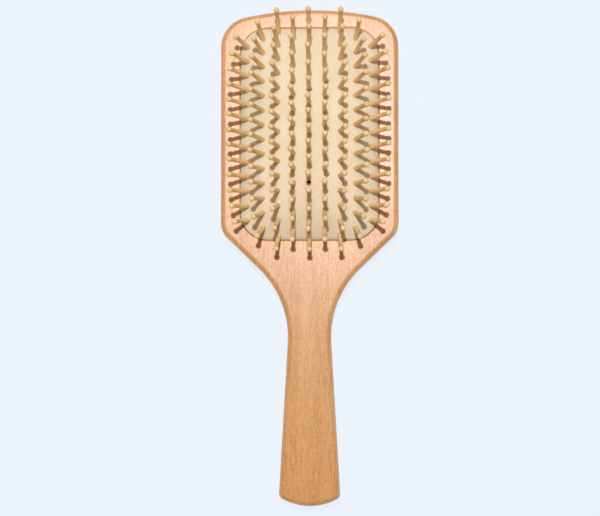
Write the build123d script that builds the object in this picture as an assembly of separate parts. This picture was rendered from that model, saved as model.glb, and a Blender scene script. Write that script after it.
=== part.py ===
from build123d import *
from math import cos, radians, sin, sqrt
import os

# Paddle brush: a one-piece beech board with a pocket, an air-cushion rubber
# membrane held in the pocket by a bead, and 127 ball-tipped wooden pins that
# stand through the membrane.
#
# Millimetres. X is the width, Y the length with the head toward +Y, Z is up.
# The brush lies on its flat back. The origin is on the back face, at the
# middle of the width and the middle of the length.

# ---------------------------------------------------------------- the board
BODY_LENGTH = 240.0
BODY_THICKNESS = 14.0
HEAD_HALF_WIDTH = 43.1
HEAD_TOP_RADIUS = 150.0
HEAD_CORNER_RADIUS = 14.9
SHOULDER_Y = 12.4
SHOULDER_RADIUS = 10.0
SHOULDER_ANGLE = 46.5
NECK_Y = -38.7
NECK_HALF_WIDTH = 10.5
NECK_RADIUS = 46.0
HANDLE_FLARE_ANGLE = 3.3
HANDLE_END_RADIUS = 27.7
HANDLE_END_DEPTH = 4.1
HANDLE_CORNER_RADIUS = 3.0
FRONT_ROUND = 2.8
BACK_ROUND = 2.9

# --------------------------------------------------------------- the pocket
PAD_CENTRE_Y = 59.4
POCKET_HALF_WIDTH = 33.4
POCKET_HALF_LENGTH = 51.25
POCKET_CORNER_RADIUS = 13.5
POCKET_FLOOR_Z = 6.0
MOUTH_CHAMFER = 0.5
GROOVE_BOTTOM_Z = 9.4
GROOVE_TOP_Z = 12.0
GROOVE_DEPTH = 1.6

# ------------------------------------------------------------- the membrane
EDGE_GAP = 0.15
MEMBRANE_THICKNESS = 2.0
CROWN_HEIGHT = 8.7
CROWN_POWER_X = 3.12
CROWN_POWER_Y = 4.05
BEAD_BOTTOM_Z = 9.7
BEAD_TOP_Z = 11.7
BEAD_WIDTH = 1.3
VENT_Y = 35.4
VENT_DIAMETER = 1.6

# ----------------------------------------------------------------- the pins
COLUMN_PITCH = 7.33
ROW_PITCH = 6.94
COLUMNS = 9
PIN_LENGTH = 16.2
PIN_BASE_RADIUS = 1.18
PIN_NECK_RADIUS = 0.94
PIN_BALL_RADIUS = 1.38
PIN_HEAD_RADIUS = 1.95
PIN_HEAD_THICKNESS = 0.9
PIN_HEAD_DEPTH = 2.3
HOLE_CLEARANCE = 0.05
GROUPS_PER_COLUMN = 6


def outline():
    """Half of the board's outline mirrored across the long axis."""
    half = BODY_LENGTH / 2
    top_y = half - HEAD_TOP_RADIUS + sqrt(HEAD_TOP_RADIUS**2 - HEAD_HALF_WIDTH**2)
    lean = radians(SHOULDER_ANGLE)
    flare = radians(HANDLE_FLARE_ANGLE)
    centre_x = NECK_HALF_WIDTH + NECK_RADIUS
    upper = (centre_x - NECK_RADIUS * cos(lean), NECK_Y + NECK_RADIUS * sin(lean))
    lower = (centre_x - NECK_RADIUS * cos(flare), NECK_Y - NECK_RADIUS * sin(flare))
    end_centre_y = -half + HANDLE_END_RADIUS
    run = lower[1] + half - HANDLE_END_DEPTH
    end_x = lower[0] + run * sin(flare) / cos(flare)
    end_y = end_centre_y - sqrt(HANDLE_END_RADIUS**2 - end_x**2)
    with BuildSketch() as sketch:
        with BuildLine():
            ThreePointArc((-HEAD_HALF_WIDTH, top_y), (0, half), (HEAD_HALF_WIDTH, top_y))
            Line((HEAD_HALF_WIDTH, top_y), (HEAD_HALF_WIDTH, SHOULDER_Y))
            Line((HEAD_HALF_WIDTH, SHOULDER_Y), upper)
            ThreePointArc(upper, (NECK_HALF_WIDTH, NECK_Y), lower)
            Line(lower, (end_x, end_y))
            ThreePointArc((end_x, end_y), (0, -half), (-end_x, end_y))
            Line((-end_x, end_y), (-lower[0], lower[1]))
            ThreePointArc((-lower[0], lower[1]), (-NECK_HALF_WIDTH, NECK_Y), (-upper[0], upper[1]))
            Line((-upper[0], upper[1]), (-HEAD_HALF_WIDTH, SHOULDER_Y))
            Line((-HEAD_HALF_WIDTH, SHOULDER_Y), (-HEAD_HALF_WIDTH, top_y))
        make_face()
        corners = sketch.vertices()
        fillet(corners.filter_by(lambda v: v.Y > top_y - 1), HEAD_CORNER_RADIUS)
        fillet(sketch.vertices().filter_by(lambda v: abs(v.Y - SHOULDER_Y) < 0.01), SHOULDER_RADIUS)
        fillet(sketch.vertices().filter_by(lambda v: abs(v.Y - end_y) < 0.01), HANDLE_CORNER_RADIUS)
    return sketch.sketch


def pad_outline(grow, z):
    """The rounded rectangle of the pocket, grown or shrunk, at a height."""
    width = 2 * (POCKET_HALF_WIDTH + grow)
    length = 2 * (POCKET_HALF_LENGTH + grow)
    shape = RectangleRounded(width, length, POCKET_CORNER_RADIUS + grow)
    return Pos(0, PAD_CENTRE_Y, z) * shape


def wood_body():
    """The beech board with its rounded edges, pocket and bead groove."""
    board = extrude(outline(), amount=BODY_THICKNESS)
    board = fillet(board.faces().sort_by(Axis.Z)[-1].edges(), FRONT_ROUND)
    board = fillet(board.faces().sort_by(Axis.Z)[0].edges(), BACK_ROUND)
    pocket = extrude(pad_outline(0, POCKET_FLOOR_Z), amount=BODY_THICKNESS)
    groove = extrude(pad_outline(GROOVE_DEPTH, GROOVE_BOTTOM_Z), amount=GROOVE_TOP_Z - GROOVE_BOTTOM_Z)
    mouth = loft(
        [
            pad_outline(0, BODY_THICKNESS - MOUTH_CHAMFER).faces()[0],
            pad_outline(MOUTH_CHAMFER, BODY_THICKNESS).faces()[0],
        ]
    )
    return board - pocket - groove - mouth


def crown_height(x, y):
    """Height of the membrane's outer surface; y is from the pad's centre."""
    across = 1 - (abs(x) / POCKET_HALF_WIDTH) ** CROWN_POWER_X
    along = 1 - (abs(y) / POCKET_HALF_LENGTH) ** CROWN_POWER_Y
    return BODY_THICKNESS + CROWN_HEIGHT * across * along


def crown_normal(x, y):
    """Outward direction of the membrane at a point."""
    step = 0.01
    slope_x = (crown_height(x + step, y) - crown_height(x - step, y)) / (2 * step)
    slope_y = (crown_height(x, y + step) - crown_height(x, y - step)) / (2 * step)
    return Vector(-slope_x, -slope_y, 1).normalized()


def under_crown(drop):
    """Everything below the crowned surface lowered by a distance."""
    count_x = 17
    count_y = 25
    margin = 1.0
    depth = 30
    span_x = POCKET_HALF_WIDTH + margin
    span_y = POCKET_HALF_LENGTH + margin
    rows = []
    for i in range(count_x):
        x = -span_x + 2 * span_x * i / (count_x - 1)
        row = []
        for j in range(count_y):
            y = -span_y + 2 * span_y * j / (count_y - 1)
            row.append(Vector(x, y + PAD_CENTRE_Y, crown_height(x, y) - drop))
        rows.append(row)
    face = Face.make_surface_from_array_of_points(rows)
    return extrude(face, amount=depth, dir=(0, 0, -1))


def pin_sites():
    """Column number, pin number from the head's end, and position of each pin."""
    sites = []
    middle = (COLUMNS - 1) // 2
    for column in range(COLUMNS):
        offset = abs(column - middle)
        if offset % 2 == 1:
            count = 14
        elif offset == middle:
            count = 13
        else:
            count = 15
        for row in range(count):
            x = (column - middle) * COLUMN_PITCH
            y = ((count - 1) / 2 - row) * ROW_PITCH
            sites.append((column + 1, row + 1, count, x, y))
    return sites


def pin_frame(x, y):
    """A frame on the crown, its Z along the outward direction."""
    origin = (x, y + PAD_CENTRE_Y, crown_height(x, y))
    outward = crown_normal(x, y)
    across = (outward.Z, 0, -outward.X)
    return Plane(origin=origin, x_dir=across, z_dir=outward).location


def pin():
    """One turned pin standing on Z = 0, its flared head below."""
    centre_z = PIN_LENGTH - PIN_BALL_RADIUS
    neck_z = centre_z - sqrt(PIN_BALL_RADIUS**2 - PIN_NECK_RADIUS**2)
    head_bottom = -PIN_HEAD_DEPTH - PIN_HEAD_THICKNESS
    with BuildPart() as solid:
        with BuildSketch(Plane.XZ):
            with BuildLine():
                Line((0, head_bottom), (PIN_HEAD_RADIUS, head_bottom))
                Line((PIN_HEAD_RADIUS, head_bottom), (PIN_HEAD_RADIUS, -PIN_HEAD_DEPTH))
                Line((PIN_HEAD_RADIUS, -PIN_HEAD_DEPTH), (PIN_BASE_RADIUS, -PIN_HEAD_DEPTH))
                Line((PIN_BASE_RADIUS, -PIN_HEAD_DEPTH), (PIN_BASE_RADIUS, 0))
                Line((PIN_BASE_RADIUS, 0), (PIN_NECK_RADIUS, neck_z))
                ThreePointArc((PIN_NECK_RADIUS, neck_z), (PIN_BALL_RADIUS, centre_z), (0, PIN_LENGTH))
                Line((0, PIN_LENGTH), (0, head_bottom))
            make_face()
        revolve(axis=Axis.Z)
    return solid.part


def rubber_cushion():
    """The crowned membrane with its skirt, retaining bead, pin holes and vent."""
    skirt_height = 25
    bead_hold = 1.0
    hole_length = 9
    outer = extrude(pad_outline(-EDGE_GAP, BEAD_BOTTOM_Z), amount=skirt_height)
    inner = extrude(pad_outline(-EDGE_GAP - MEMBRANE_THICKNESS, BEAD_BOTTOM_Z - 1), amount=skirt_height)
    shell = (outer & under_crown(0)) - (inner & under_crown(MEMBRANE_THICKNESS))
    bead = extrude(pad_outline(BEAD_WIDTH, BEAD_BOTTOM_Z), amount=BEAD_TOP_Z - BEAD_BOTTOM_Z)
    bead = bead - extrude(pad_outline(-EDGE_GAP - bead_hold, BEAD_BOTTOM_Z - 1), amount=BEAD_TOP_Z)
    shell = shell + bead
    hole = Pos(0, 0, -PIN_HEAD_DEPTH) * Cylinder(PIN_BASE_RADIUS + HOLE_CLEARANCE, hole_length)
    holes = [pin_frame(x, y) * hole for _, _, _, x, y in pin_sites()]
    vent = Pos(0, VENT_Y, BODY_THICKNESS + CROWN_HEIGHT) * Cylinder(VENT_DIAMETER / 2, hole_length)
    return shell - holes - vent


def pin_groups():
    """Each column's pins in short runs of neighbours, with a name for each run."""
    shape = pin()
    groups = []
    for column in range(1, COLUMNS + 1):
        sites = [s for s in pin_sites() if s[0] == column]
        count = len(sites)
        for g in range(GROUPS_PER_COLUMN):
            first = count * g // GROUPS_PER_COLUMN
            last = count * (g + 1) // GROUPS_PER_COLUMN
            name = f"pins_col{column}_{first + 1:02d}_{last:02d}"
            pins = [pin_frame(x, y) * shape for _, _, _, x, y in sites[first:last]]
            groups.append((name, Compound(children=pins)))
    return groups


os.makedirs("parts", exist_ok=True)
export_step(wood_body(), "parts/wood_body.step")
export_step(rubber_cushion(), "parts/rubber_cushion.step")
for name, group in pin_groups():
    export_step(group, f"parts/{name}.step")
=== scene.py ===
# %% [markdown]
# # A wooden paddle brush
# The brush is a beech board, a domed rubber cushion and 127 turned wooden pins.
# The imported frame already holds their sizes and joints, so this lesson starts by
# loading it. Every length below is in metres, in the frame's own axes: X is the
# brush's width, Y runs to the top of the head, and Z points out of the pins' side.

# %% Load the frame
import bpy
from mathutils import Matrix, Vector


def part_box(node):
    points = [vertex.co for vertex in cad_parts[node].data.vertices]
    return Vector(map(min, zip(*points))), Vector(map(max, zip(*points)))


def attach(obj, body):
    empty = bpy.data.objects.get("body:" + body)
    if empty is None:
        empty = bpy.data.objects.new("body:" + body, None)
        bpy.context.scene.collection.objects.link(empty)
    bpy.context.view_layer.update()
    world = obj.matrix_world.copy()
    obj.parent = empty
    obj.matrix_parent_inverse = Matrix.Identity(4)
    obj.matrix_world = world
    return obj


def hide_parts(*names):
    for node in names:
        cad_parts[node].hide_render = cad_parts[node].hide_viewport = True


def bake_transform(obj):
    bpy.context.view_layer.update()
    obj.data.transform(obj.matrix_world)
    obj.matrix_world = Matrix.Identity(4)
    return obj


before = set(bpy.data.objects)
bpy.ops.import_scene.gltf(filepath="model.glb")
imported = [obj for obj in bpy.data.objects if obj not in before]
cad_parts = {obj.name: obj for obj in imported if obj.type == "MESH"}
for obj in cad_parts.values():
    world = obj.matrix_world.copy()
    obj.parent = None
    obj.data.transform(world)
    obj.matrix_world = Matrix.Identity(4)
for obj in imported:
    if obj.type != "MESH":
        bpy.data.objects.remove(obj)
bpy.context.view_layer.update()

# %% [markdown]
# ## Sizes
# The board and the cushion have CAD solids, and their boxes give most sizes. The
# cushion's box includes the bead that snaps into the board's groove, so the
# visible pad is one bead narrower on every side. What the boxes can't tell, such
# as the shape of the crown, is named here once and used by every later cell.

# %% Name the sizes
import math

import bmesh
import bpy
from mathutils import Matrix, Vector

MM = 0.001
BEAD = 1.3 * MM
EDGE_GAP = 0.15 * MM
RUBBER = 2.0 * MM
CROWN_POWER_X = 3.12
CROWN_POWER_Y = 4.05
POCKET_CORNER = 13.5 * MM

wood_low, wood_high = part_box("wood_body")
pad_low, pad_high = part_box("rubber_cushion")
FACE_Z = wood_high[2]
PAD_Y = (pad_low[1] + pad_high[1]) / 2
PAD_HALF_WIDTH = (pad_high[0] - pad_low[0]) / 2 - BEAD
PAD_HALF_LENGTH = (pad_high[1] - pad_low[1]) / 2 - BEAD
CROWN_HEIGHT = pad_high[2] - FACE_Z
print(f"pad {2000 * PAD_HALF_WIDTH:.1f} x {2000 * PAD_HALF_LENGTH:.1f} mm at y {1000 * PAD_Y:.1f} mm")

# %% [markdown]
# ## Small helpers
# A node tree is a list of nodes and a list of links. These helpers make a node,
# fill its sockets from plain values or other nodes' outputs, and hand back the
# node, so that each recipe further down reads from top to bottom.

# %% Helpers for node trees
def add_node(tree, kind, settings=None, **sockets):
    """A new node with its properties set and its sockets filled or linked."""
    node = tree.nodes.new(kind)
    for name, value in (settings or {}).items():
        setattr(node, name, value)
    for name, value in sockets.items():
        fill_socket(tree, node.inputs[name.replace("_", " ")], value)
    return node


def fill_socket(tree, socket, value):
    """Links an output to a socket, or writes a plain value into it."""
    if isinstance(value, bpy.types.NodeSocket):
        tree.links.new(value, socket)
    else:
        socket.default_value = value


def reckon(tree, operation, *values):
    """One Math node, as its output."""
    node = tree.nodes.new("ShaderNodeMath")
    node.operation = operation
    for socket, value in zip(node.inputs, values):
        fill_socket(tree, socket, value)
    return node.outputs[0]


def keep_object(name, mesh):
    """A new object for a mesh, in the scene, at the origin."""
    thing = bpy.data.objects.new(name, mesh)
    bpy.context.scene.collection.objects.link(thing)
    return thing


# %% [markdown]
# ## The crown, as one rule
# Air behind the rubber pushes it into a dome that is flat in the middle and falls
# fast at the rim. One product of two powers gives that: each factor is 1 on the
# centre line and 0 at the rim. The pins stand square to the same surface, so the
# rule is a node group of its own, used by the cushion and by the pins alike.

# %% A node group for the crown
def socket_in(tree, name, kind, value=None):
    """Adds a named input to a node group."""
    item = tree.interface.new_socket(name, in_out="INPUT", socket_type="NodeSocket" + kind)
    if value is not None:
        item.default_value = value
    return item


def socket_out(tree, name, kind):
    """Adds a named output to a node group."""
    return tree.interface.new_socket(name, in_out="OUTPUT", socket_type="NodeSocket" + kind)


def falloff(tree, place, half, power):
    """(1 - |t|^p, its slope) for t = place / half."""
    t = reckon(tree, "DIVIDE", place, half)
    size = reckon(tree, "ABSOLUTE", t)
    share = reckon(tree, "SUBTRACT", 1.0, reckon(tree, "POWER", size, power))
    steep = reckon(tree, "POWER", size, reckon(tree, "SUBTRACT", power, 1.0))
    slope = reckon(tree, "DIVIDE", reckon(tree, "MULTIPLY", power, steep), half)
    return share, reckon(tree, "MULTIPLY", slope, reckon(tree, "SIGN", t))


def make_crown_group():
    """Takes a place on the pad and gives the crown's height and outward direction."""
    tree = bpy.data.node_groups.new("crown_rule", "GeometryNodeTree")
    socket_in(tree, "Height", "Float", CROWN_HEIGHT)
    socket_in(tree, "Half Width", "Float", PAD_HALF_WIDTH)
    socket_in(tree, "Half Length", "Float", PAD_HALF_LENGTH)
    socket_out(tree, "Rise", "Float")
    socket_out(tree, "Outward", "Vector")
    given = tree.nodes.new("NodeGroupInput")
    position = add_node(tree, "GeometryNodeInputPosition")
    place = add_node(tree, "ShaderNodeSeparateXYZ", Vector=position.outputs[0])
    along = reckon(tree, "SUBTRACT", place.outputs["Y"], PAD_Y)
    across_share, across_slope = falloff(tree, place.outputs["X"], given.outputs["Half Width"], CROWN_POWER_X)
    along_share, along_slope = falloff(tree, along, given.outputs["Half Length"], CROWN_POWER_Y)
    height = given.outputs["Height"]
    rise = reckon(tree, "MULTIPLY", height, reckon(tree, "MULTIPLY", across_share, along_share))
    lean_x = reckon(tree, "MULTIPLY", height, reckon(tree, "MULTIPLY", across_slope, along_share))
    lean_y = reckon(tree, "MULTIPLY", height, reckon(tree, "MULTIPLY", along_slope, across_share))
    outward = add_node(tree, "ShaderNodeCombineXYZ", X=lean_x, Y=lean_y, Z=1.0)
    end = tree.nodes.new("NodeGroupOutput")
    tree.links.new(rise, end.inputs["Rise"])
    tree.links.new(outward.outputs[0], end.inputs["Outward"])
    return tree


crown_rule = make_crown_group()
print("crown rule:", len(crown_rule.nodes), "nodes")

# %% [markdown]
# ## Where the pins stand
# Nine columns, half a pitch out of step with their neighbours. The middle column
# and its second neighbours hold 15 pins, the ones between hold 14, and the two
# outer columns stop at 13 because the pad's corners are round. A loop lays out
# bare points, flat at first; the crown rule lifts them later.

# %% Lay out the pins' places
COLUMN_PITCH = 7.33 * MM
ROW_PITCH = 6.94 * MM
COLUMNS = 9
MIDDLE = (COLUMNS + 1) // 2


def column_places(column):
    """The flat places of one column's pins, from the top of the head down."""
    offset = column - MIDDLE
    if offset % 2:
        count = 14
    elif abs(offset) == MIDDLE - 1:
        count = 13
    else:
        count = 15
    top = PAD_Y + (count - 1) / 2 * ROW_PITCH
    return [(offset * COLUMN_PITCH, top - row * ROW_PITCH, 0.0) for row in range(count)]


def points_object(name, places):
    """An object of bare vertices."""
    mesh = bpy.data.meshes.new(name)
    mesh.from_pydata(places, [], [])
    return keep_object(name, mesh)


all_places = [place for column in range(1, COLUMNS + 1) for place in column_places(column)]
print(len(all_places), "pins in", COLUMNS, "columns")

# %% [markdown]
# ## Beech
# The board is plain-sawn beech with a thin satin finish. Beech has three marks at
# three sizes: wide, slow bands of colour along the board; fine streaks a
# millimetre or less across; and the short dark dashes of its rays, two or three
# millimetres long. Each is noise stretched along Y, at its own scale, and the
# dashes also sink a little into the surface.

# %% Helpers for materials
def linear(red, green, blue):
    """A colour written as 0-255 screen values, as the linear colour a shader wants."""
    def one(v):
        v = v / 255
        return v / 12.92 if v <= 0.04045 else ((v + 0.055) / 1.055) ** 2.4
    return (one(red), one(green), one(blue), 1.0)


def new_material(name):
    """A material with its node tree and its Principled shader."""
    material = bpy.data.materials.new(name)
    material.use_nodes = True
    return material, material.node_tree, material.node_tree.nodes["Principled BSDF"]


def stretched_noise(tree, period, detail=2.0, rough=0.5, warp=0.0):
    """Noise whose blobs are about period = (x, y, z) metres long."""
    place = add_node(tree, "ShaderNodeTexCoord").outputs["Object"]
    scale = tuple(1 / p for p in period)
    mapped = add_node(tree, "ShaderNodeMapping", {"vector_type": "POINT"}, Vector=place, Scale=scale)
    noise = add_node(tree, "ShaderNodeTexNoise", Vector=mapped.outputs[0], Scale=1.0, Detail=detail)
    noise.inputs["Roughness"].default_value = rough
    noise.inputs["Distortion"].default_value = warp
    return noise.outputs["Fac"]


def between(tree, value, low, high, to_low=0.0, to_high=1.0):
    """A value from one range moved smoothly to another."""
    node = add_node(tree, "ShaderNodeMapRange", {"interpolation_type": "SMOOTHSTEP"}, Value=value)
    node.inputs["From Min"].default_value = low
    node.inputs["From Max"].default_value = high
    node.inputs["To Min"].default_value = to_low
    node.inputs["To Max"].default_value = to_high
    return node.outputs[0]


def tint(tree, factor, first, second, blend="MIX"):
    """Two colours mixed by a factor."""
    node = add_node(tree, "ShaderNodeMix", {"data_type": "RGBA", "blend_type": blend})
    fill_socket(tree, node.inputs[0], factor)
    fill_socket(tree, node.inputs[6], first)
    fill_socket(tree, node.inputs[7], second)
    return node.outputs[2]


def press_in(tree, shader, height, depth, strength=1.0):
    """Bump from a height between 0 and 1, that many metres deep."""
    bump = add_node(tree, "ShaderNodeBump", Height=height, Distance=depth, Strength=strength)
    tree.links.new(bump.outputs[0], shader.inputs["Normal"])


# %% Make the beech
def make_beech():
    """Plain-sawn beech under a thin satin finish, its grain along Y."""
    material, tree, shader = new_material("beech")
    bands = stretched_noise(tree, (8 * MM, 150 * MM, 12 * MM), detail=3, warp=0.4)
    streaks = stretched_noise(tree, (0.8 * MM, 22 * MM, 2 * MM), detail=4, rough=0.6)
    hairs = stretched_noise(tree, (0.45 * MM, 4 * MM, 0.8 * MM), detail=2)
    dashes = stretched_noise(tree, (0.30 * MM, 1.9 * MM, 0.7 * MM), detail=1, rough=0.4)
    dash = between(tree, dashes, 0.56, 0.68)
    colour = tint(tree, between(tree, bands, 0.35, 0.68), linear(234, 172, 106), linear(220, 153, 87))
    colour = tint(tree, between(tree, streaks, 0.42, 0.72, 0, 0.60), colour, linear(194, 122, 62))
    colour = tint(tree, between(tree, hairs, 0.45, 0.72, 0, 0.50), colour, linear(240, 196, 142))
    colour = tint(tree, reckon(tree, "MULTIPLY", dash, 0.40), colour, linear(158, 90, 44))
    tree.links.new(colour, shader.inputs["Base Color"])
    tree.links.new(between(tree, streaks, 0.3, 0.7, 0.38, 0.44), shader.inputs["Roughness"])
    ridges = reckon(tree, "MULTIPLY", streaks, 0.5)
    relief = reckon(tree, "SUBTRACT", ridges, reckon(tree, "MULTIPLY", dash, 0.5))
    press_in(tree, shader, relief, 0.05 * MM)
    shader.inputs["IOR"].default_value = 1.65
    shader.inputs["Coat Weight"].default_value = 1.0
    shader.inputs["Coat Roughness"].default_value = 0.38
    shader.inputs["Coat IOR"].default_value = 1.5
    return material


beech = make_beech()

# %% [markdown]
# ## The board
# The CAD solid already has the board's true outline, its rounded edges, the
# pocket and the groove. Its mesh is loose triangles, each shaded flat, so a copy
# is welded and shaded smooth, with normals weighted toward the large faces: the
# flats stay flat and only the rounded edges turn.

# %% Weld the board
def welded_copy(node, name):
    """A smooth, welded copy of a CAD node's mesh."""
    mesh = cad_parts[node].data.copy()
    work = bmesh.new()
    work.from_mesh(mesh)
    bmesh.ops.remove_doubles(work, verts=work.verts, dist=0.002 * MM)
    for edge in work.edges:
        if len(edge.link_faces) == 2 and edge.calc_face_angle() > math.radians(28):
            edge.smooth = False
    for face in work.faces:
        face.smooth = True
    work.to_mesh(mesh)
    work.free()
    mesh.materials.clear()
    return keep_object(name, mesh)


board = welded_copy("wood_body", "board")
board.data.materials.append(beech)
weigh = board.modifiers.new("even_normals", "WEIGHTED_NORMAL")
weigh.keep_sharp = True
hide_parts("wood_body")
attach(board, "handle")
print("board:", len(board.data.polygons), "triangles")

# %% [markdown]
# ## Natural rubber
# The membrane is undyed natural rubber: a warm cream, matte, slightly cloudy,
# with a fine powdery tooth. A little sheen gives the soft light that talc leaves
# at grazing angles.

# %% Make the rubber
def make_rubber():
    """Cream natural rubber with a cloudy tone and a powdery skin."""
    material, tree, shader = new_material("natural_rubber")
    cloud = stretched_noise(tree, (14 * MM, 14 * MM, 14 * MM), detail=3)
    skin = stretched_noise(tree, (0.5 * MM, 0.5 * MM, 0.5 * MM), detail=3, rough=0.65)
    colour = tint(tree, between(tree, cloud, 0.3, 0.7), linear(236, 221, 195), linear(230, 213, 184))
    colour = tint(tree, between(tree, skin, 0.5, 0.8, 0, 0.25), colour, linear(208, 186, 150))
    tree.links.new(colour, shader.inputs["Base Color"])
    tree.links.new(between(tree, skin, 0.3, 0.7, 0.62, 0.74), shader.inputs["Roughness"])
    press_in(tree, shader, skin, 0.03 * MM)
    shader.inputs["Sheen Weight"].default_value = 0.08
    shader.inputs["Subsurface Weight"].default_value = 0.2
    shader.inputs["Subsurface Radius"].default_value = (1.0, 0.8, 0.55)
    shader.inputs["Subsurface Scale"].default_value = 2.5 * MM
    shader.inputs["Specular IOR Level"].default_value = 0.35
    return material


rubber = make_rubber()

# %% [markdown]
# ## A sheet with round corners
# The membrane needs an even mesh that follows a rounded rectangle. Rings of equal
# point count run around the outline and shrink inward until their corners are
# points, and a plain grid fills what is left. Top skin and underside are made
# alike, so their rims match point for point and a skirt can join them.

# %% Rings around the pad
CORNER_STEPS = 14
SIDE_STEPS = 116
END_STEPS = 64


def ring(grow, z):
    """Points around the pocket's outline, grown by a distance, at a height."""
    corner = POCKET_CORNER + grow
    flat_x = PAD_HALF_WIDTH + grow - corner
    flat_y = PAD_HALF_LENGTH + grow - corner
    centres = [(flat_x, flat_y), (-flat_x, flat_y), (-flat_x, -flat_y), (flat_x, -flat_y)]
    steps = [END_STEPS, SIDE_STEPS, END_STEPS, SIDE_STEPS]
    points = []
    for turn in range(4):
        cx, cy = centres[turn]
        for n in range(CORNER_STEPS + 1):
            angle = (turn + n / CORNER_STEPS) * math.pi / 2
            points.append(Vector((cx + corner * math.cos(angle), cy + corner * math.sin(angle), z)))
        last = points[-1]
        nx, ny = centres[(turn + 1) % 4]
        angle = (turn + 1) * math.pi / 2
        following = Vector((nx + corner * math.cos(angle), ny + corner * math.sin(angle), z))
        points += [last.lerp(following, n / steps[turn]) for n in range(1, steps[turn])]
    return [p + Vector((0, PAD_Y, 0)) for p in points]


RING_COUNT = len(ring(0, 0))
print(RING_COUNT, "points in a ring")

# %% [markdown]
# ## The membrane, laid flat
# Seen from the rim inward, the top skin rolls over a small edge, and seen from the
# rim downward, a skirt runs to the bead that snaps into the groove. The sheet is
# built flat first. A vertex attribute marks what will rise with the crown, so the
# skirt and the bead stay where the groove holds them.

# %% Lay out the membrane
EDGE_ROLL = 0.55 * MM
BEAD_TOP = pad_low[2] + 2.0 * MM
BEAD_ROUND = 0.35 * MM


def rolled(inset):
    """How far the rounded edge lies below the skin, at a distance from the rim."""
    back = max(0.0, 1 - inset / EDGE_ROLL)
    return EDGE_ROLL * (1 - math.sqrt(1 - back * back))


def skin_rings(edge, drop, roll):
    """Rings of a skin from its rim inward; edge is how far the rim is inside the outline."""
    deepest = POCKET_CORNER - edge
    insets = [0.0, 0.1 * MM, 0.25 * MM]
    steps = 18
    insets += [0.25 * MM + (deepest - 0.25 * MM) * n / steps for n in range(1, steps + 1)]
    return [ring(-edge - d, FACE_Z - drop - (rolled(d) if roll else 0)) for d in insets]


def grid_inside(edge_ring):
    """The plain grid that fills the innermost ring."""
    low = Vector([min(p[i] for p in edge_ring) for i in range(3)])
    high = Vector([max(p[i] for p in edge_ring) for i in range(3)])
    rows = []
    for row in range(SIDE_STEPS + 1):
        y = low.y + (high.y - low.y) * row / SIDE_STEPS
        across = [low.x + (high.x - low.x) * n / END_STEPS for n in range(END_STEPS + 1)]
        rows.append([Vector((x, y, low.z)) for x in across])
    return rows


def add_band(work, rings, closed=True):
    """Quads between neighbouring rows of points; each row may be closed on itself."""
    made = []
    for points in rings:
        made.append([work.verts.new(p) for p in points])
    for first, second in zip(made, made[1:]):
        count = len(first)
        for n in range(count if closed else count - 1):
            work.faces.new((first[n], first[(n + 1) % count], second[(n + 1) % count], second[n]))


def flat_membrane():
    """The whole membrane before its crown is raised: skins, skirt and bead."""
    work = bmesh.new()
    layer = work.verts.layers.float.new("rises")
    top = skin_rings(EDGE_GAP, 0.0, True)
    under = skin_rings(EDGE_GAP + RUBBER, RUBBER, False)
    add_band(work, top)
    add_band(work, grid_inside(top[-1]), closed=False)
    add_band(work, under)
    add_band(work, grid_inside(under[-1]), closed=False)
    skirt = [
        ring(-EDGE_GAP, top[0][0].z),
        ring(-EDGE_GAP, BEAD_TOP),
        ring(BEAD - BEAD_ROUND, BEAD_TOP),
        ring(BEAD, BEAD_TOP - BEAD_ROUND),
        ring(BEAD, pad_low[2] + BEAD_ROUND),
        ring(BEAD - BEAD_ROUND, pad_low[2]),
        ring(-EDGE_GAP - RUBBER, pad_low[2]),
        ring(-EDGE_GAP - RUBBER, under[0][0].z),
    ]
    add_band(work, skirt)
    bmesh.ops.remove_doubles(work, verts=work.verts, dist=0.001 * MM)
    bmesh.ops.recalc_face_normals(work, faces=work.faces)
    for vert in work.verts:
        on_skin = vert.co.z > max(BEAD_TOP, FACE_Z - RUBBER - 0.01 * MM)
        vert[layer] = 1.0 if on_skin else 0.0
    for face in work.faces:
        face.smooth = True
    mesh = bpy.data.meshes.new("cushion_flat")
    work.to_mesh(mesh)
    work.free()
    return mesh


cushion_flat = keep_object("cushion_flat", flat_membrane())
print("membrane, flat:", len(cushion_flat.data.polygons), "faces")

# %% [markdown]
# ## Raise the crown
# The flat sheet goes through a small tree: the crown rule lifts every marked
# vertex, and each pin's place pulls the rubber down into a shallow dimple, as the
# pin's flared head does from behind. The distance to the nearest pin comes from
# Geometry Proximity, on the bare points laid out earlier.

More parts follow.
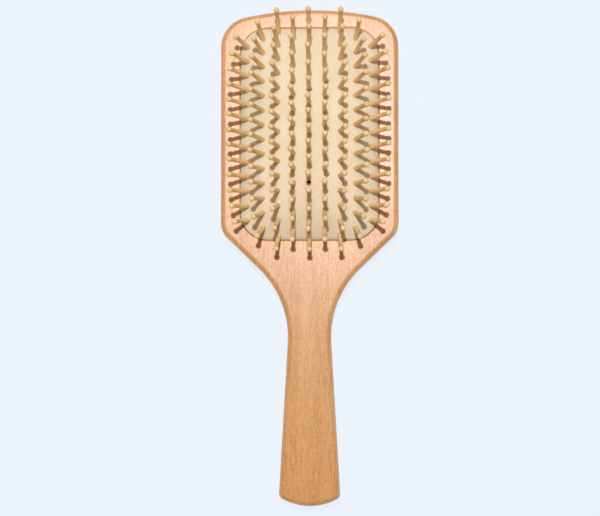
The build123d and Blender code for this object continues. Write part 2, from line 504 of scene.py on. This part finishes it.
# %% The cushion's tree
def make_cushion_tree():
    """Lifts a flat membrane to the crown and dimples it at the pins."""
    tree = bpy.data.node_groups.new("raise_cushion", "GeometryNodeTree")
    socket_in(tree, "Geometry", "Geometry")
    socket_in(tree, "Pin Places", "Object")
    socket_in(tree, "Dimple Depth", "Float", 0.28 * MM)
    socket_in(tree, "Dimple Radius", "Float", 1.9 * MM)
    socket_in(tree, "Rubber", "Material")
    socket_out(tree, "Geometry", "Geometry")
    given = tree.nodes.new("NodeGroupInput")
    crown = add_node(tree, "GeometryNodeGroup", {"node_tree": crown_rule})
    rises = add_node(tree, "GeometryNodeInputNamedAttribute", {"data_type": "FLOAT"}, Name="rises")
    places = add_node(tree, "GeometryNodeObjectInfo", Object=given.outputs["Pin Places"])
    position = add_node(tree, "GeometryNodeInputPosition")
    level = add_node(tree, "ShaderNodeVectorMath", {"operation": "MULTIPLY"})
    tree.links.new(position.outputs[0], level.inputs[0])
    level.inputs[1].default_value = (1, 1, 0)
    near = add_node(tree, "GeometryNodeProximity", {"target_element": "POINTS"})
    tree.links.new(places.outputs["Geometry"], near.inputs[0])
    tree.links.new(level.outputs[0], near.inputs["Sample Position"])
    t = reckon(tree, "DIVIDE", near.outputs["Distance"], given.outputs["Dimple Radius"])
    fade = reckon(tree, "EXPONENT", reckon(tree, "MULTIPLY", reckon(tree, "MULTIPLY", t, t), -1.0))
    dimple = reckon(tree, "MULTIPLY", fade, given.outputs["Dimple Depth"])
    lift = reckon(tree, "SUBTRACT", crown.outputs["Rise"], dimple)
    lift = reckon(tree, "MULTIPLY", lift, rises.outputs[0])
    move = add_node(tree, "ShaderNodeCombineXYZ", Z=lift)
    flat = given.outputs["Geometry"]
    raised = add_node(tree, "GeometryNodeSetPosition", Geometry=flat, Offset=move.outputs[0])
    painted = add_node(tree, "GeometryNodeSetMaterial", Geometry=raised.outputs[0])
    tree.links.new(given.outputs["Rubber"], painted.inputs["Material"])
    end = tree.nodes.new("NodeGroupOutput")
    tree.links.new(painted.outputs[0], end.inputs["Geometry"])
    return tree


def run_tree(thing, tree, inputs, name):
    """Runs a tree on an object and returns its result as a plain object; the source goes."""
    modifier = thing.modifiers.new(tree.name, "NODES")
    modifier.node_group = tree
    for item in tree.interface.items_tree:
        if item.in_out == "INPUT" and item.name in inputs:
            modifier[item.identifier] = inputs[item.name]
    bpy.context.view_layer.update()
    ready = thing.evaluated_get(bpy.context.evaluated_depsgraph_get())
    mesh = bpy.data.meshes.new_from_object(ready)
    mesh.name = name
    bpy.data.objects.remove(thing)
    return keep_object(name, mesh)


pin_places = points_object("pin_places", all_places)
cushion = run_tree(cushion_flat, make_cushion_tree(), {"Pin Places": pin_places, "Rubber": rubber}, "cushion")
cushion_top = max(v.co.z for v in cushion.data.vertices)
print("cushion:", len(cushion.data.polygons), "faces, top at", round(cushion_top / MM, 2), "mm")

# %% [markdown]
# ## The vent
# One small round hole lets the cushion breathe. It goes through the top skin, so
# it is cut, not painted.

# %% Cut the vent
VENT_Y = 35.4 * MM
VENT_RADIUS = 0.8 * MM


def cylinder_object(name, radius, centre, depth, sides):
    """A plain closed cylinder along Z."""
    work = bmesh.new()
    bmesh.ops.create_cone(work, cap_ends=True, segments=sides, radius1=radius, radius2=radius, depth=depth)
    bmesh.ops.translate(work, verts=work.verts, vec=centre)
    mesh = bpy.data.meshes.new(name)
    work.to_mesh(mesh)
    work.free()
    return keep_object(name, mesh)


vent_cutter = cylinder_object("vent_cutter", VENT_RADIUS, (0, VENT_Y, pad_high[2]), 12 * MM, 24)
cut = cushion.modifiers.new("vent", "BOOLEAN")
cut.operation = "DIFFERENCE"
cut.solver = "EXACT"
cut.object = vent_cutter
bpy.context.view_layer.update()
vented = bpy.data.meshes.new_from_object(cushion.evaluated_get(bpy.context.evaluated_depsgraph_get()))
bpy.data.objects.remove(cushion)
bpy.data.objects.remove(vent_cutter)
bpy.data.objects.remove(pin_places)
vented.materials.clear()
vented.materials.append(rubber)
cushion = keep_object("cushion", vented)
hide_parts("rubber_cushion")
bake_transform(cushion)
print("cushion with its vent:", len(vented.polygons), "faces")

# %% [markdown]
# ## Pin wood
# The pins are turned from a paler, yellower wood. On something two millimetres
# thick, only fine lines along its length show, and each pin is a slightly
# different shade. The tree that plants the pins stores a number on each one, and
# the material reads it back.

# %% Make the pins' wood
def make_pin_wood():
    """Fine-grained turned wood, each pin its own shade."""
    material, tree, shader = new_material("pin_wood")
    shade = add_node(tree, "ShaderNodeAttribute", {"attribute_name": "shade"}).outputs["Fac"]
    lines = stretched_noise(tree, (0.35 * MM, 0.35 * MM, 6 * MM), detail=2)
    colour = tint(tree, shade, linear(246, 216, 158), linear(236, 200, 138))
    colour = tint(tree, between(tree, lines, 0.45, 0.75, 0, 0.5), colour, linear(216, 172, 110))
    tree.links.new(colour, shader.inputs["Base Color"])
    tree.links.new(between(tree, lines, 0.3, 0.7, 0.38, 0.5), shader.inputs["Roughness"])
    press_in(tree, shader, lines, 0.02 * MM)
    return material


pin_wood = make_pin_wood()

# %% [markdown]
# ## One pin
# A pin is turned: a flared head that sits behind the rubber, a shank that tapers
# upward, and a ball that spares the scalp. Its half profile, spun in twelve steps,
# is enough, because smooth shading rounds what is only a millimetre across.

# %% Turn one pin
PIN_LENGTH = 16.2 * MM
PIN_BASE = 1.18 * MM
PIN_NECK = 0.94 * MM
PIN_BALL = 1.38 * MM
PIN_HEAD = 1.95 * MM
HEAD_TOP = -2.3 * MM
HEAD_LOW = -3.2 * MM
TURNS = 12


def pin_profile():
    """Radius and height up the pin, from its head to the top of its ball."""
    ball_z = PIN_LENGTH - PIN_BALL
    neck_angle = math.asin(PIN_NECK / PIN_BALL)
    profile = [(PIN_HEAD, HEAD_LOW), (PIN_HEAD, HEAD_TOP), (PIN_BASE, HEAD_TOP), (PIN_BASE, 0.0)]
    neck_z = ball_z - PIN_BALL * math.cos(neck_angle)
    profile.append(((PIN_BASE + PIN_NECK) / 2, neck_z / 2))
    for n in range(6):
        angle = neck_angle + (math.pi - neck_angle) * n / 6
        profile.append((PIN_BALL * math.sin(angle), ball_z - PIN_BALL * math.cos(angle)))
    return profile


def turned_pin():
    """The pin's mesh, spun from its profile and closed at both poles."""
    work = bmesh.new()
    rows = []
    for radius, z in pin_profile():
        angles = [2 * math.pi * n / TURNS for n in range(TURNS)]
        rows.append([work.verts.new((radius * math.cos(a), radius * math.sin(a), z)) for a in angles])
    for low, high in zip(rows, rows[1:]):
        for n in range(TURNS):
            work.faces.new((low[n], low[(n + 1) % TURNS], high[(n + 1) % TURNS], high[n]))
    foot = work.verts.new((0, 0, HEAD_LOW))
    tip = work.verts.new((0, 0, PIN_LENGTH))
    for n in range(TURNS):
        work.faces.new((rows[0][(n + 1) % TURNS], rows[0][n], foot))
        work.faces.new((rows[-1][n], rows[-1][(n + 1) % TURNS], tip))
    for face in work.faces:
        face.smooth = True
    mesh = bpy.data.meshes.new("one_pin")
    work.to_mesh(mesh)
    work.free()
    return mesh


one_pin = keep_object("one_pin", turned_pin())
print("one pin:", len(one_pin.data.polygons), "faces")

# %% [markdown]
# ## Plant the pins
# The same tree plants every column. It lifts the bare points to the crown, turns
# each pin square to the surface, gives it a tiny lean, a turn about its own axis
# and a shade from a fixed seed, and ends as one plain mesh. There is one mesh for
# each column because each column is a body of its own and tilts on its own hinge.

# %% The pins' tree
def chance(tree, kind, low, high, seed):
    """A Random Value node's live output."""
    node = add_node(tree, "FunctionNodeRandomValue", {"data_type": kind})
    ports = [p for p in node.inputs if p.enabled]
    fill_socket(tree, ports[0], low)
    fill_socket(tree, ports[1], high)
    fill_socket(tree, node.inputs["Seed"], seed)
    return next(p for p in node.outputs if p.enabled)


def make_pin_tree():
    """Plants a pin on every point it is given, square to the crown."""
    tree = bpy.data.node_groups.new("plant_pins", "GeometryNodeTree")
    socket_in(tree, "Geometry", "Geometry")
    socket_in(tree, "Pin", "Object")
    socket_in(tree, "Face Height", "Float", FACE_Z)
    socket_in(tree, "Lean", "Float", 0.022)
    socket_in(tree, "Seed", "Int", 1)
    socket_in(tree, "Pin Wood", "Material")
    socket_out(tree, "Geometry", "Geometry")
    given = tree.nodes.new("NodeGroupInput")
    seed = given.outputs["Seed"]
    crown = add_node(tree, "GeometryNodeGroup", {"node_tree": crown_rule})
    up = reckon(tree, "ADD", crown.outputs["Rise"], given.outputs["Face Height"])
    lift = add_node(tree, "ShaderNodeCombineXYZ", Z=up)
    nudge = chance(tree, "FLOAT_VECTOR", (-1, -1, 0), (1, 1, 0), seed)
    lean = add_node(tree, "ShaderNodeVectorMath", {"operation": "SCALE"})
    tree.links.new(nudge, lean.inputs[0])
    tree.links.new(given.outputs["Lean"], lean.inputs["Scale"])
    aim = add_node(tree, "ShaderNodeVectorMath", {"operation": "ADD"})
    tree.links.new(crown.outputs["Outward"], aim.inputs[0])
    tree.links.new(lean.outputs[0], aim.inputs[1])
    square = add_node(tree, "FunctionNodeAlignRotationToVector", {"axis": "Z"}, Vector=aim.outputs[0])
    turn = add_node(tree, "ShaderNodeCombineXYZ", Z=chance(tree, "FLOAT", 0.0, 2 * math.pi, seed))
    spun = add_node(tree, "FunctionNodeRotateRotation", {"rotation_space": "LOCAL"})
    tree.links.new(square.outputs[0], spun.inputs[0])
    tree.links.new(turn.outputs[0], spun.inputs[1])
    pin = add_node(tree, "GeometryNodeObjectInfo", Object=given.outputs["Pin"])
    plant = add_node(tree, "GeometryNodeInstanceOnPoints")
    raised = add_node(tree, "GeometryNodeSetPosition", Offset=lift.outputs[0])
    tree.links.new(given.outputs["Geometry"], raised.inputs["Geometry"])
    tree.links.new(raised.outputs[0], plant.inputs["Points"])
    tree.links.new(pin.outputs["Geometry"], plant.inputs["Instance"])
    tree.links.new(spun.outputs[0], plant.inputs["Rotation"])
    on_each = {"data_type": "FLOAT", "domain": "INSTANCE"}
    shade = add_node(tree, "GeometryNodeStoreNamedAttribute", on_each, Name="shade")
    tree.links.new(plant.outputs[0], shade.inputs["Geometry"])
    fill_socket(tree, shade.inputs["Value"], chance(tree, "FLOAT", 0.0, 1.0, seed))
    real = add_node(tree, "GeometryNodeRealizeInstances", Geometry=shade.outputs[0])
    painted = add_node(tree, "GeometryNodeSetMaterial", Geometry=real.outputs[0])
    tree.links.new(given.outputs["Pin Wood"], painted.inputs["Material"])
    end = tree.nodes.new("NodeGroupOutput")
    tree.links.new(painted.outputs[0], end.inputs["Geometry"])
    return tree


# %% Plant all nine columns
plant_pins = make_pin_tree()
for column in range(1, COLUMNS + 1):
    points = points_object(f"places_{column}", column_places(column))
    inputs = {"Pin": one_pin, "Seed": column, "Pin Wood": pin_wood}
    pins = run_tree(points, plant_pins, inputs, f"pins_column_{column}")
    nodes = [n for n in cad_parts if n.startswith(f"pins_col{column}_")]
    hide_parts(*nodes)
    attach(pins, f"pin_column_{column}")
    print(f"column {column}: {len(column_places(column))} pins for {len(nodes)} nodes")
bpy.data.objects.remove(one_pin)

# %% [markdown]
# ## A pale table
# The brush lies on a very pale, slightly blue sheet that is lit evenly from
# everywhere. A little glow of its own keeps the sheet the same tone from corner to
# corner, and its faint diffuse part still takes a soft contact shadow. It lies a hair
# below the brush's back, so that the two flat faces never share one plane.

# %% Lay the floor
FLOOR_GAP = 0.1 * MM


def make_paper():
    """Pale blue-white paper, mostly self-lit so that its tone stays even."""
    material, tree, shader = new_material("pale_sheet")
    shader.inputs["Base Color"].default_value = (0.06, 0.066, 0.075, 1)
    shader.inputs["Roughness"].default_value = 0.9
    shader.inputs["Specular IOR Level"].default_value = 0.1
    shader.inputs["Emission Color"].default_value = linear(236, 243, 251)
    shader.inputs["Emission Strength"].default_value = 0.935
    return material


work = bmesh.new()
bmesh.ops.create_grid(work, x_segments=1, y_segments=1, size=1.5)
bmesh.ops.translate(work, verts=work.verts, vec=(0, 0, -FLOOR_GAP))
floor_mesh = bpy.data.meshes.new("floor")
work.to_mesh(floor_mesh)
work.free()
floor_mesh.materials.append(make_paper())
floor = keep_object("floor", floor_mesh)
print(f"floor laid {FLOOR_GAP / MM:.1f} mm under the back")

# %% [markdown]
# ## Light and camera
# One small lamp above the top of the head gives short, crisp shadows and the satin
# glow on the wood around the pad. A big soft panel and a pale world fill the
# shadows without hiding them. The camera looks down from arm's length, a little
# to the right of the brush.

# %% Light the brush
def lamp(name, place, target, size, watts, colour):
    """A square area light aimed at a point."""
    data = bpy.data.lights.new(name, "AREA")
    data.size = size
    data.energy = watts
    data.color = colour
    thing = bpy.data.objects.new(name, data)
    bpy.context.scene.collection.objects.link(thing)
    thing.location = place
    thing.rotation_euler = (Vector(target) - Vector(place)).to_track_quat("-Z", "Y").to_euler()
    return thing


lamp("key", (0.000, 0.150, 0.590), (0, -0.20, FACE_Z), 0.022, 2.55, (0.98, 1.0, 1.02))
lamp("soft_box", (0.000, 0.330, 0.560), (0, 0.05, FACE_Z), 0.240, 0.50, (0.93, 1.0, 1.12))

world = bpy.data.worlds.new("studio")
bpy.context.scene.world = world
world.use_nodes = True
backdrop = world.node_tree.nodes["Background"]
backdrop.inputs["Color"].default_value = (1.0, 0.76, 0.50, 1)
backdrop.inputs["Strength"].default_value = 0.22

# %% Set the camera
camera_data = bpy.data.cameras.new("camera")
camera_data.lens = 51.15
camera_data.sensor_width = 36.0
camera = bpy.data.objects.new("camera", camera_data)
bpy.context.scene.collection.objects.link(camera)
camera.location = (0.0099, -0.0055, 0.4240)
look_at = Vector((-0.0045, -0.0004, FACE_Z))
back = (camera.location - look_at).normalized()
right = Vector((0, 1, 0)).cross(back).normalized()
camera.rotation_euler = Matrix((right, back.cross(right), back)).transposed().to_euler()
bpy.context.scene.camera = camera
bpy.context.scene.view_settings.view_transform = "Standard"
print("camera", tuple(round(c, 3) for c in camera.location))
